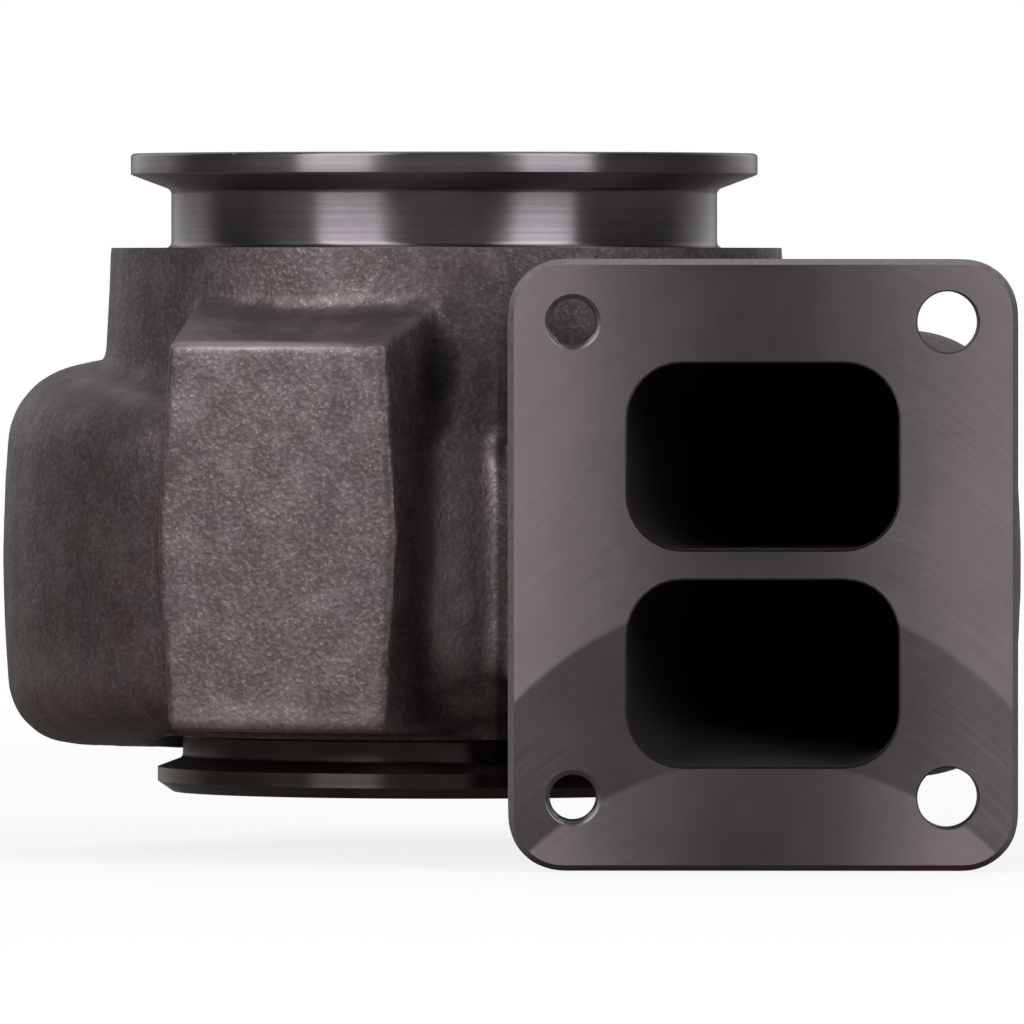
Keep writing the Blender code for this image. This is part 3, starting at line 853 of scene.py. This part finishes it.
# %% Normals that lean across the grooves
def leaned(normal, direction, amount):
    """The normal, leaned along a direction by a signed amount."""
    push = normal.node("VectorMath", {"operation": "SCALE"}, {0: direction, "Scale": amount})
    return normal.vector("NORMALIZE", normal.vector("ADD", normal, push))


# %% Turned iron
def turned_finish(name, dark, light):
    """Rings round the turbine axis, and streaks of colour along them."""
    material, shader, start = new_material(name)
    shader.inputs["Metallic"].default_value = 0.95
    shader.inputs["Anisotropic"].default_value = 0.95
    shader.inputs["Anisotropic Rotation"].default_value = 0.25
    place = start.node("TexCoord", output="Object")
    normal = start.node("NewGeometry", output="Normal")
    arm = start.vector("SUBTRACT", place, AXIS)
    x, y, z = arm.parts()
    radius = start.math("SQRT", x * x + y * y)
    around = start.vector("NORMALIZE", start.vector("CROSS_PRODUCT", Vector((0, 0, 1)), arm))
    across = start.vector("CROSS_PRODUCT", normal, around)
    feed_place = start.node("CombineXYZ", None, {"X": radius, "Y": z})
    grooves = start.noise(feed_place, 1100, 3) - 0.5
    rings = start.noise(feed_place, 380, 4, 0.8)
    stains = start.noise(place, 45, 4, 0.6)
    lean = leaned(normal, across, grooves * 0.18)
    end_face = start.math("ABSOLUTE", normal.parts()[2]).step(0.8, 0.95)
    clear = start.noise(place, 60, 2).step(0.3, 0.7) * 0.8 + 0.3
    streaks = stains.step(0.35, 0.7) * 0.5 + rings.step(0.36, 0.66) * clear
    colour = start.blend(streaks, dark, light)
    rough = stains * 0.06 + end_face * 0.14 + 0.26
    feed(shader, {"Base Color": colour, "Roughness": rough, "Normal": lean})
    return material


TURNED_DARK, TURNED_LIGHT = (0.136, 0.121, 0.132), (0.196, 0.178, 0.193)
# the outlet end's rings are a darker copy of the turned iron, painted shade where little light
# reaches
SHADED_TURNED_DARK, SHADED_TURNED_LIGHT = (0.060, 0.050, 0.046), (0.086, 0.073, 0.068)
turned_iron = turned_finish("turned iron", TURNED_DARK, TURNED_LIGHT)
shaded_turned_iron = turned_finish("turned iron shaded dark", SHADED_TURNED_DARK, SHADED_TURNED_LIGHT)
print("turned finishes:", turned_iron.name, "and", shaded_turned_iron.name)

# %% [markdown]
# A face mill is as wide as the flange and leaves arcs. While it cuts, its load tips it a
# hair, so that each stretch of its way down looks elsewhere and mirrors another part of
# the room. So the normal leans along the arc's radius by the load, which changes at two
# heights, and a little more by the single marks and by those of the cutter's back edge.

# %% Milled iron
CUTTER_RADIUS = 0.0748
CUTTER_X = -0.0005
CUTTER_STOPS = (-0.0817, -0.1178)  # heights of the cutter's centre where its load changed
FEED = 0.0011
MILLED_DARK, MILLED_LIGHT = (0.0525, 0.0440, 0.0460), (0.0632, 0.0530, 0.0554)


def milled_finish():
    """Arcs of a face mill that went down the flange."""
    material, shader, start = new_material("milled iron")
    shader.inputs["Metallic"].default_value = 0.9
    place = start.node("TexCoord", output="Object")
    normal = start.node("NewGeometry", output="Normal")
    x, _, z = place.parts()
    side = (x - CUTTER_X) * (1 / CUTTER_RADIUS)
    rise = start.math("SQRT", start.math("MAXIMUM", 1 - side * side, 0.02))
    centre = z - rise * CUTTER_RADIUS
    across = start.node("CombineXYZ", None, {"X": side, "Z": rise})
    feed_place = start.node("CombineXYZ", None, {"X": centre, "Y": side * 0.004})
    back_place = start.node("CombineXYZ", None, {"X": z + rise * CUTTER_RADIUS})
    marks = start.noise(feed_place, 1 / FEED, 2) - 0.5
    crossed = start.noise(back_place, 1 / FEED, 2) - 0.5
    first, second = (centre.step(stop - 0.0009, stop + 0.0009) for stop in CUTTER_STOPS)
    right = x.step(0.0, 0.05)
    load = first * (0.185 - right * 0.03) + (1 - first) * right * 0.07
    load = load + (1 - second) * 0.17 + 0.22
    lean = leaned(normal, across, load + marks * 0.09 + crossed * 0.06)
    stains = start.noise(place, 38, 4, 0.6)
    colour = start.blend(stains.step(0.35, 0.7), MILLED_DARK, MILLED_LIGHT)
    feed(shader, {"Base Color": colour, "Roughness": stains * 0.08 + 0.34, "Normal": lean})
    return material


milled_iron = milled_finish()
print("milled with a cutter of", 2 * CUTTER_RADIUS, "m")

# %% [markdown]
# The flange's outer edge is broken by hand, and the strokes of the file run every way and
# catch the light. A drill leaves rings down its hole. Both are bumps, because here the
# marks are as wide as a pixel or more.


# %% Filed and drilled iron
def filed_finish():
    """The edge of the flange, broken by hand with a file, and painted darker at the bottom as
    shade.
    """
    material, shader, start = new_material("filed iron")
    shader.inputs["Metallic"].default_value = 0.9
    place = start.node("TexCoord", output="Object")
    strokes = start.noise(place, 900, 3)
    bump = start.node("Bump", None, {"Strength": 1.0, "Distance": 0.00004, "Height": strokes})
    # painted shade: the flange's lower edge is darker
    low = 1 - place.parts()[2].step(-0.0665, -0.0600)
    colour = start.blend(strokes, (0.19, 0.168, 0.175), (0.30, 0.27, 0.28))
    colour = start.blend(low * 0.8, colour, (0.050, 0.036, 0.030))
    feed(shader, {"Base Color": colour, "Roughness": strokes * 0.2 + 0.35, "Normal": bump})
    return material


def drilled_finish():
    """Rings down a hole."""
    material, shader, start = new_material("drilled iron")
    shader.inputs["Metallic"].default_value = 0.9
    place = start.node("TexCoord", output="Object")
    depth = start.node("CombineXYZ", None, {"X": place.parts()[1]})
    rings = start.noise(depth, 2600, 2)
    grains = start.noise(place, 1400, 2)
    height = rings * 0.7 + grains * 0.3
    bump = start.node("Bump", None, {"Strength": 1.0, "Distance": 0.00006, "Height": height})
    colour = start.blend(grains, (0.085, 0.076, 0.078), (0.150, 0.138, 0.142))
    feed(shader, {"Base Color": colour, "Roughness": rings * 0.2 + 0.3, "Normal": bump})
    return material


drilled_iron = drilled_finish()
filed_iron = filed_finish()
print("tool finishes:", filed_iron.name, "and", drilled_iron.name)

# %% [markdown]
# ## A cutter leaves its finish
#
# Each cutter carries the finish that it leaves. A Boolean passes the cutter's material
# on to the faces that it cuts, so the turned bands, the milled face and the drilled holes
# end exactly where the tool stopped.

# %% Cutting
casting.data.materials.clear()
casting.data.materials.append(cast_skin)


def cut(cutter, finish):
    """Takes the cutter off the casting and leaves its finish on the cut."""
    cutter.data.materials.clear()
    cutter.data.materials.append(finish)
    settings = {"operation": "DIFFERENCE", "solver": "MANIFOLD", "material_mode": "TRANSFER"}
    modify(casting, "BOOLEAN", object=cutter, **settings)
    bpy.data.objects.remove(cutter)
    print("  now", len(casting.data.polygons), "faces,", len(casting.data.materials), "finishes")


# %% The lathe, at the bearing end and at the outlet end
BEARING_EDGE, CONE_FILLET, NECK_FILLET = 0.0009, 0.0015, 0.0014
OUTLET_CHAMFER_WIDTH, OUTLET_CHAMFER_HEIGHT = 0.0034, 0.0024
OUTLET_FILLET, OUTLET_RELIEF, RELIEF_CHAMFER = 0.0012, 0.0020, 0.0008
FAR = 0.012


def arc(centre, radius, start, end, steps=5):
    """Points of an arc, by its angles in degrees."""
    angles = [radians(mix(start, end, step / steps)) for step in range(steps + 1)]
    return [flat(centre[0] + radius * cos(a), centre[1] + radius * sin(a)) for a in angles]


def bearing_profile():
    """From the shoulder's outside up to the middle of the end face."""
    slope = tan(radians(BAND_SLOPE))
    rim_z = BEARING_FACE_Z - BEARING_RIM
    cone_z = rim_z - (BEARING_BAND_RADIUS - NECK_RADIUS) * slope
    reach = CONE_FILLET * tan(radians(90 - BAND_SLOPE) / 2)
    foot = arc((NECK_RADIUS + NECK_FILLET, SHOULDER_Z + NECK_FILLET), NECK_FILLET, 270, 180)
    top = arc((NECK_RADIUS + CONE_FILLET, cone_z - reach), CONE_FILLET, 180, 90 + BAND_SLOPE)
    corner = (BEARING_BAND_RADIUS - BEARING_EDGE, BEARING_FACE_Z - BEARING_EDGE)
    rim = arc(corner, BEARING_EDGE, 0, 90)
    rim_edge = 0.0003
    return [
        flat(BODY_RADIUS + FAR, SHOULDER_Z),
        *foot,
        *top,
        flat(BEARING_BAND_RADIUS - rim_edge, rim_z - rim_edge * slope),
        flat(BEARING_BAND_RADIUS, rim_z + rim_edge),
        *rim,
        flat(0, BEARING_FACE_Z),
    ]


def outlet_profile():
    """From the middle of the end face round the rim and up the neck, and back outside."""
    slope = tan(radians(BAND_SLOPE))
    rim_z = OUTLET_FACE_Z + OUTLET_RIM
    cone_z = rim_z + (OUTLET_BAND_RADIUS - OUTLET_NECK_RADIUS) * slope
    reach = OUTLET_FILLET * tan(radians(90 - BAND_SLOPE) / 2)
    centre = (OUTLET_NECK_RADIUS + OUTLET_FILLET, cone_z + reach)
    neck = arc(centre, OUTLET_FILLET, 270 - BAND_SLOPE, 180)
    relief = BELLY_END_Z - OUTLET_RELIEF
    outside = OUTLET_BAND_RADIUS + STOCK + 0.0015
    return [
        flat(0, OUTLET_FACE_Z),
        flat(OUTLET_BAND_RADIUS - OUTLET_CHAMFER_WIDTH, OUTLET_FACE_Z),
        flat(OUTLET_BAND_RADIUS, OUTLET_FACE_Z + OUTLET_CHAMFER_HEIGHT),
        flat(OUTLET_BAND_RADIUS, rim_z),
        *neck,
        flat(OUTLET_NECK_RADIUS, relief - RELIEF_CHAMFER),
        flat(OUTLET_NECK_RADIUS + RELIEF_CHAMFER, relief),
        flat(outside, relief),
        flat(outside, OUTLET_FACE_Z - FAR),
        flat(0, OUTLET_FACE_Z - FAR),
    ]


top_cut = [
    *bearing_profile(),
    flat(0, BEARING_FACE_Z + FAR),
    flat(BODY_RADIUS + FAR, BEARING_FACE_Z + FAR),
    flat(BODY_RADIUS + FAR, SHOULDER_Z),
]
cut(spun("lathe cut, bearing end", top_cut), turned_iron)
cut(spun("lathe cut, outlet end", outlet_profile()), shaded_turned_iron)

# %% [markdown]
# ## A knock on the rim
#
# The sharp upper edge of the bearing end has one small dent, where it once hit something.
# A little ball, sunk into the edge, takes it out.

# %% The dent
NICK = Vector((-0.1176, 0.0664, 0.0914)) - AXIS
NICK_RADIUS, NICK_DEPTH = 0.0013, 0.0006

bpy.ops.object.select_all(action="DESELECT")
bpy.ops.mesh.primitive_ico_sphere_add(subdivisions=3, radius=NICK_RADIUS)
nick = bpy.context.object
edit(nick)
away = Vector((NICK.x, NICK.y, 0)).normalized() * 0.3 + Vector((0, 0, 0.95))
bpy.ops.transform.translate(value=NICK + (NICK_RADIUS - NICK_DEPTH) * away)
bpy.ops.object.mode_set(mode="OBJECT")
cut(nick, turned_iron)

# %% [markdown]
# ## The bores and the throat
#
# From the bearing side the lathe bores the register and the chamber, and follows the
# wheel's outline down to the outlet. The throat between the channels and the wheel stays
# as it was cast, with the divider's thin tip leaning up between the two halves.

# %% Bores along the axis
REGISTER_RADIUS, REGISTER_DEPTH = 0.056, 0.0074
CHAMBER_FLOOR_Z, EXDUCER_RADIUS, EXDUCER_Z = 0.038, 0.040, -0.004
DIFFUSER_Z, OUTLET_BORE_RADIUS = -0.014, 0.052
DIVIDER_ROOT, THROAT_RING, LIP_FLOOR_Z = 0.0095, 0.0045, -0.018
CUT = 0.005  # how far a cutter starts outside the casting
CURVE_STEPS = 14


def bezier(a, b, c, d):
    """A curve from a to d, which leaves towards b and arrives from c."""
    points = []
    for step in range(CURVE_STEPS + 1):
        t = step / CURVE_STEPS
        s = 1 - t
        points.append(a * s**3 + b * (3 * s * s * t) + c * (3 * s * t * t) + d * t**3)
    return points


def bore_outline():
    """Register, chamber, the wheel's outline and the widening outlet."""
    throat_bottom = THROAT_Z - THROAT_WIDTH / 2
    register_z = BEARING_FACE_Z - REGISTER_DEPTH
    widening = (OUTLET_BORE_RADIUS - EXDUCER_RADIUS) / (DIFFUSER_Z - OUTLET_FACE_Z)
    edge, corner = 0.0006, 0.001
    shroud = []
    for step in range(1, CURVE_STEPS + 1):
        turn = radians(90) * step / CURVE_STEPS
        radius = mix(WHEEL_RADIUS, EXDUCER_RADIUS, sin(turn))
        shroud.append(flat(radius, mix(EXDUCER_Z, throat_bottom, cos(turn))))
    return [
        flat(0, BEARING_FACE_Z + CUT),
        flat(REGISTER_RADIUS + edge + CUT, BEARING_FACE_Z + CUT),
        flat(REGISTER_RADIUS, BEARING_FACE_Z - edge),
        flat(REGISTER_RADIUS, register_z),
        flat(CHAMBER_RADIUS, register_z),
        flat(CHAMBER_RADIUS, CHAMBER_FLOOR_Z + corner),
        flat(CHAMBER_RADIUS - corner, CHAMBER_FLOOR_Z),
        flat(WHEEL_RADIUS, CHAMBER_FLOOR_Z),
        flat(WHEEL_RADIUS, throat_bottom),
        *shroud,
        flat(EXDUCER_RADIUS, DIFFUSER_Z),
        flat(OUTLET_BORE_RADIUS, OUTLET_FACE_Z + edge),
        flat(OUTLET_BORE_RADIUS + edge + CUT + widening * CUT, OUTLET_FACE_Z - CUT),
        flat(0, OUTLET_FACE_Z - CUT),
    ]


# %% The throat, with the divider between its two halves
def divider_side(root_z, tip_z, first_bend, last_bend):
    """One side of the divider, from its root to its tip."""
    outer = SCROLL_INNER + THROAT_RING
    return bezier(
        flat(outer, root_z),
        flat(mix(outer, WHEEL_RADIUS, first_bend), root_z),
        flat(mix(outer, WHEEL_RADIUS, last_bend), tip_z),
        flat(WHEEL_RADIUS, tip_z),
    )


def throat_outline():
    outer = SCROLL_INNER + THROAT_RING
    throat_top = THROAT_Z + THROAT_WIDTH / 2
    throat_bottom = THROAT_Z - THROAT_WIDTH / 2
    above = divider_side(DIVIDER_ROOT / 2, THROAT_Z + TIP_THICKNESS / 2, 0.35, 0.25)
    below = divider_side(-DIVIDER_ROOT / 2, THROAT_Z - TIP_THICKNESS / 2, 0.60, 0.45)
    lip = bezier(
        flat(outer, LIP_FLOOR_Z),
        flat(mix(WHEEL_RADIUS, outer, 0.29), LIP_FLOOR_Z),
        flat(mix(WHEEL_RADIUS, outer, 0.34), throat_bottom),
        flat(WHEEL_RADIUS, throat_bottom),
    )
    inside = WHEEL_RADIUS - 0.002
    return [
        flat(inside, throat_top),
        flat(mix(WHEEL_RADIUS, outer, 0.6), throat_top),
        flat(outer, throat_top - THROAT_RING),
        *above,
        *below[::-1],
        *lip,
        flat(inside, throat_bottom),
    ]


cut(spun("throat", throat_outline(), closed=True), shaded_gas_side)
cut(spun("bore", bore_outline()), turned_iron)

# %% [markdown]
# ## The two gas channels
#
# In the foundry the channels are sand cores. Here they are two more tubes of rings, one
# above and one below the divider, and each runs from a port down the duct and round.

# %% Channels
CHANNEL_END, CORNER_SHARE = 310.0, 0.42


def channel_corners(inner, outer, low_in, low_out, high_out, high_in):
    """Four corners with the port's radius, and less where the channel is small."""
    radius = min(PORT_CORNER, CORNER_SHARE * min(outer - inner, high_out - low_out))
    places = [(inner, low_in), (outer, low_out), (outer, high_out), (inner, high_in)]
    return [(flat(*place), radius, 8) for place in places]


def channel_at(wrap, upper):
    outer = volute_radius(wrap) - SIDE_WALL
    if upper:
        low, high = DIVIDER / 2, top_z(wrap) - SKIN_WALL
        high_in = high + (outer - SCROLL_INNER) * tan(radians(ROOF_DRAFT))
        return channel_corners(SCROLL_INNER, outer, low, low, high, high_in)
    low, high = bottom_z(wrap) + SKIN_WALL, -DIVIDER / 2
    low_in = max(low, NECK_FLOOR_Z + SKIN_WALL)
    return channel_corners(SCROLL_INNER, outer, low_in, low, high, high)


def port(upper, grown=0.0):
    """A port's outline in the inlet face, or one grown round it."""
    inner = INLET_OFFSET - PORT_WIDTH / 2 - grown
    outer = INLET_OFFSET + PORT_WIDTH / 2 + grown
    low = (DIVIDER / 2 if upper else -DIVIDER / 2 - PORT_HEIGHT) - grown
    high = low + PORT_HEIGHT + 2 * grown
    corner = PORT_CORNER + grown
    places = [(inner, low), (outer, low), (outer, high), (inner, high)]
    return [(flat(*place), corner, 8) for place in places]


def channel(name, upper):
    straight = FLANGE_THICKNESS / 2 - INLET_REACH
    rings = [at_depth(rounded(port(upper)), -INLET_REACH - CUT)]
    for y, share, early in duct_stations(straight):
        section = blended(port(upper), channel_at(0, upper), share, early)
        rings.append(at_depth(rounded(section), y))
    for wrap in wraps(CHANNEL_END):
        rings.append(at_wrap(rounded(channel_at(wrap, upper)), wrap))
    return tube(name, rings)


cut(channel("upper channel", True), shaded_gas_side)
cut(channel("lower channel", False), shaded_gas_side)

# %% [markdown]
# ## The milled face and the four bolt holes
#
# One wide cut faces the flange flat. A chamfer runs round the outline, and a tiny one
# round the ports. The two holes towards the axis are tapped. Their thread is real: on a
# cylinder of many rings, each point moves out by how far it is along the helix.

# %% Facing cut, chamfers and ports
LIP = 0.0004


def flange_outline(grown):
    x, z = FLANGE_WIDTH / 2 + grown, FLANGE_HEIGHT / 2 + grown
    places = [(-x, -z), (x, -z), (x, z), (-x, z)]
    outline = rounded([(flat(*place), FLANGE_CORNER + grown, 14) for place in places])
    return [p + flat(INLET_OFFSET, 0) for p in outline]


def facing_cut():
    """All that stands before the inlet face."""
    bpy.ops.mesh.primitive_cube_add(size=1)
    obj = bpy.context.object
    for vert in obj.data.vertices:
        y = 0 if vert.co.y > 0 else -2 * FAR
        vert.co = Vector((vert.co.x * 2 * FLANGE_WIDTH, y, vert.co.z * 2 * FLANGE_HEIGHT)) - AXIS
    return obj


def chamfer_cut():
    """A frame round the flange, with the chamfer on its inner edge."""
    bevel = FLANGE_CHAMFER
    rings = [
        at_depth(flange_outline(FAR), -INLET_REACH - bevel),
        at_depth(flange_outline(FAR), bevel - INLET_REACH),
        at_depth(flange_outline(0), bevel - INLET_REACH),
        at_depth(flange_outline(-2 * bevel), -INLET_REACH - bevel),
    ]
    points = [p for ring in rings for p in ring]
    count = len(rings[0])
    faces = []
    for ring in range(len(rings)):
        here, there = ring * count, (ring + 1) % len(rings) * count
        for i in range(count):
            j = (i + 1) % count
            faces.append((here + i, here + j, there + j, there + i))
    mesh = bpy.data.meshes.new("chamfer cut")
    mesh.from_pydata(points, [], faces)
    obj = bpy.data.objects.new("chamfer cut", mesh)
    bpy.context.scene.collection.objects.link(obj)
    edit(obj)
    return close_up(obj)


def port_lip(upper):
    """A cone round a port that breaks its edge."""
    rings = []
    for depth in (-CUT, LIP):
        rings.append(at_depth(rounded(port(upper, LIP - depth)), depth - INLET_REACH))
    return tube("port lip", rings)


cut(facing_cut(), milled_iron)
cut(chamfer_cut(), filed_iron)
for upper in (True, False):
    cut(port_lip(upper), milled_iron)

# %% Bolt holes
BOLT_X, BOLT_Z, BOLT_SHIFT_X, BOLT_SHIFT_Z = 0.0413, 0.0524, -0.0006, 0.0011
TAPPED_RADIUS, TAPPED_MOUTH_RADIUS, CLEARANCE_RADIUS = 0.0051, 0.0062, 0.00675
PITCH, THREAD_DEPTH, THREAD_STEEPNESS, THREAD_FLAT = 0.00175, 0.0009, 1.3, 0.15
THROUGH = FLANGE_THICKNESS + 0.006
HOLE_EDGE = 0.0003


def hole(name, x, z, profile, steps=48):
    """A round cutter along +Y, by (depth, radius) from the face."""
    rings = []
    for depth, radius in profile:
        angles = [2 * pi * step / steps for step in range(steps)]
        outline = [flat(x + radius * cos(a), z + radius * sin(a)) for a in angles]
        rings.append(at_depth(outline, depth - INLET_REACH))
    return tube(name, rings)


def thread(name, x, z):
    """A screw thread: how far out a point lies follows its depth less its share of a turn."""
    steps, rows = 40, 96
    rings = []
    for row in range(rows + 1):
        depth = mix(-0.0015, THROUGH, row / rows)
        ring = []
        for step in range(steps):
            share = step / steps
            along = (depth / PITCH - share) % 1.0
            out = 1 - abs(2 * along - 1)
            flank = min(1, max(0, THREAD_STEEPNESS * out - THREAD_FLAT))
            radius = TAPPED_RADIUS + THREAD_DEPTH * flank
            angle = 2 * pi * share
            ring.append(flat(x + radius * cos(angle), z + radius * sin(angle)))
        rings.append(at_depth(ring, depth - INLET_REACH))
    return tube(name, rings)


sink_slope = tan(radians(30))
countersink = [
    (-CUT, TAPPED_MOUTH_RADIUS + CUT / sink_slope),
    ((TAPPED_MOUTH_RADIUS - TAPPED_RADIUS) * sink_slope, TAPPED_RADIUS),
    (0.003, TAPPED_RADIUS),
]
plain = [
    (-CUT, CLEARANCE_RADIUS + CUT + HOLE_EDGE),
    (HOLE_EDGE, CLEARANCE_RADIUS),
    (THROUGH, CLEARANCE_RADIUS),
]
middle_x = INLET_OFFSET + BOLT_SHIFT_X
for z in (BOLT_SHIFT_Z - BOLT_Z, BOLT_SHIFT_Z + BOLT_Z):
    cut(thread("thread", middle_x - BOLT_X, z), drilled_iron)
    cut(hole("countersink", middle_x - BOLT_X, z, countersink), drilled_iron)
    cut(hole("plain hole", middle_x + BOLT_X, z, plain), drilled_iron)

# %% [markdown]
# ## Shading, place and hand over
#
# The lesson worked round the turbine axis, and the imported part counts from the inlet. So
# the points move to their final place and the object stays at the origin, where its
# patterns keep to it. Faces that meet at less than 25 degrees are shaded smooth. That is
# a little less than the 30 degrees between the flange's face and a countersink, so that
# this edge stays sharp.
#
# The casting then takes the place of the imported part's only node.

# %% Place the casting and smooth its shading
SHARP = 25

edit(casting)
bpy.ops.transform.translate(value=AXIS)
bpy.ops.object.mode_set(mode="OBJECT")
bpy.ops.object.shade_smooth_by_angle(angle=radians(SHARP))
print("finished casting", sum(len(p.vertices) - 2 for p in casting.data.polygons), "triangles")

# %% Hand over
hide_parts("turbine_housing")
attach(casting, "root")
